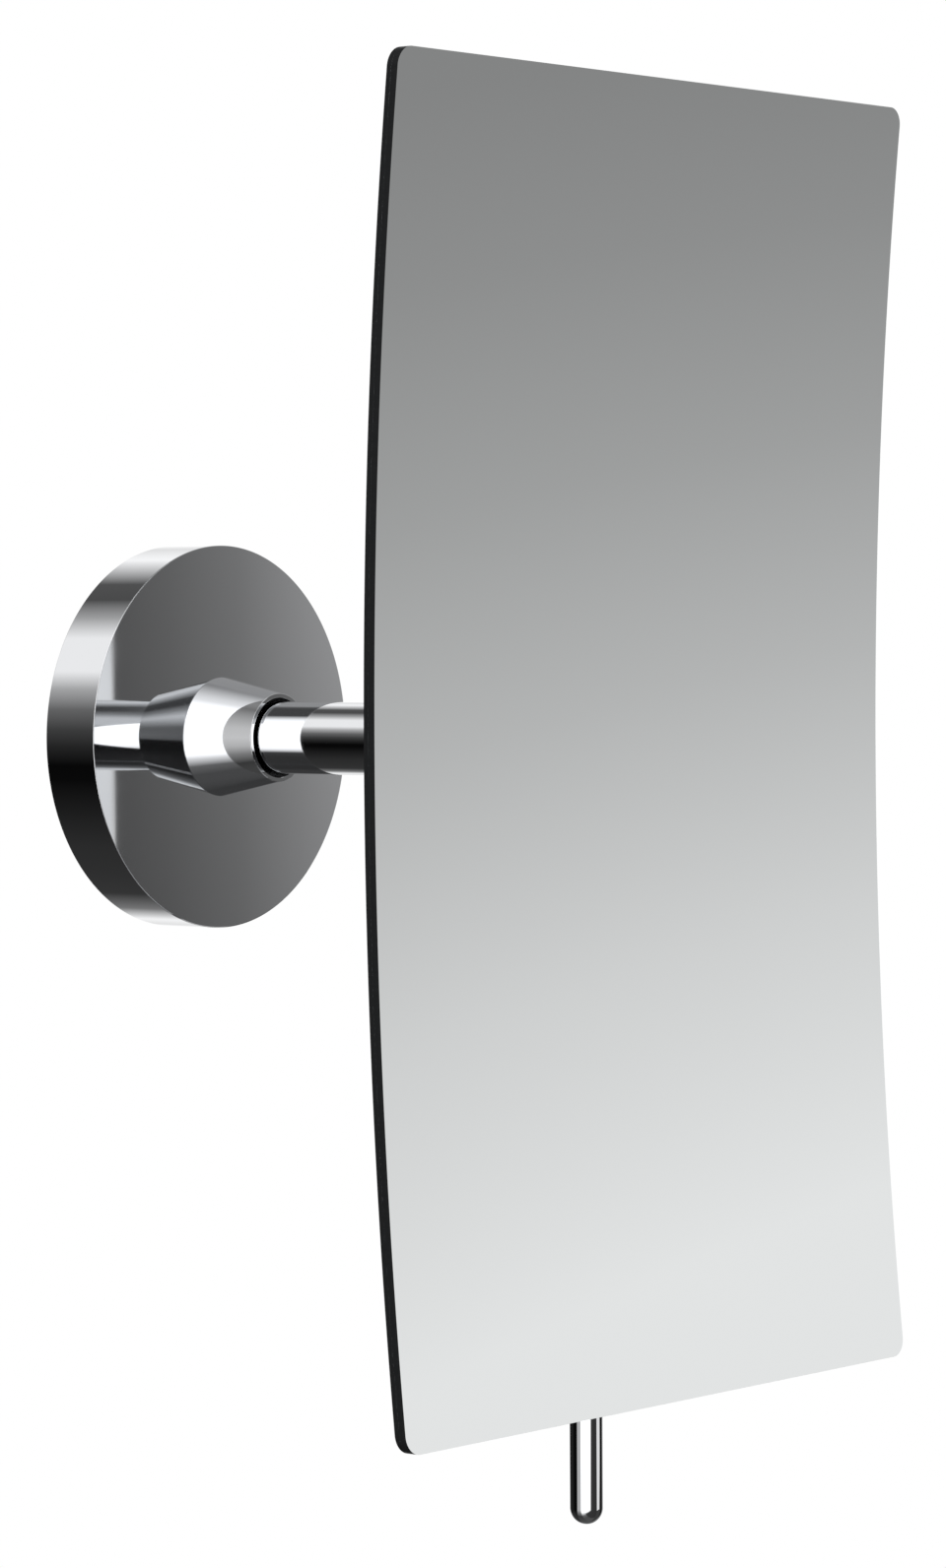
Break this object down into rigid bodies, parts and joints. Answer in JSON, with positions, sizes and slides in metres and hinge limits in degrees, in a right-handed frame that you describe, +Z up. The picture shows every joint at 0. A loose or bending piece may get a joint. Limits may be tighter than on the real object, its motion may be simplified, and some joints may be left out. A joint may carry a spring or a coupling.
{
  "type": "wall magnifying mirror",
  "caption": "Rectangular bent magnifying mirror on a straight wall arm, with a round rosette, swivelling arm, ball joint and rod handle.",
  "frame": {"origin": "centre of the rosette on the wall face", "axes": "+Z up along the panel's height, +X to the right across the panel, +Y into the wall; the mirror faces -Y"},
  "size_m": [0.132, 0.1032, 0.229],
  "materials": {
    "mirror_face": "optically polished mirror",
    "polished_back": "bright polished sheet",
    "chrome_plate": "bright chrome plate",
    "fastener_steel": "bright stainless steel",
    "cast_zinc": "dull die casting",
    "brass_nut": "machined",
    "black_nylon": "moulded",
    "white_nylon": "moulded",
    "foam_adhesive": "matt foam tape"
  },
  "bodies": {
    "wall": {"wall_plate": "cast_zinc", "rosette": "chrome_plate", "rosette_grub_screw": "fastener_steel", "collar": "chrome_plate", "collar_nut": "brass_nut", "collar_bush": "black_nylon", "friction_washer_front": "white_nylon", "friction_washer_rear": "white_nylon"},
    "arm": {"arm_tube": "chrome_plate", "swivel_stud": "fastener_steel", "thrust_washer": "fastener_steel", "spring_washer": "fastener_steel", "lock_nut": "fastener_steel", "ball_stud": "chrome_plate"},
    "liner": {"ball_liner": "white_nylon"},
    "head": {"socket_cap": "chrome_plate", "socket_body": "chrome_plate", "pressure_cup": "white_nylon", "disc_spring": "fastener_steel", "hub_flange": "chrome_plate", "hub_screws": "fastener_steel", "adhesive_pad": "foam_adhesive", "back_plate": "polished_back", "mirror_pane": "mirror_face", "handle_rod": "chrome_plate"}
  },
  "joints": [
    {"name": "arm_swivel", "type": "hinge", "parent": "wall", "child": "arm", "pos_m": [0, 0, 0], "axis": [0, 1, 0], "continuous": true},
    {"name": "mirror_pan", "type": "hinge", "parent": "arm", "child": "liner", "pos_m": [0, -0.084, 0], "axis": [0, 0, 1], "range_deg": [-20, 20]},
    {"name": "mirror_tilt", "type": "hinge", "parent": "liner", "child": "head", "pos_m": [0, -0.084, 0], "axis": [1, 0, 0], "range_deg": [-20, 20]}
  ]
}
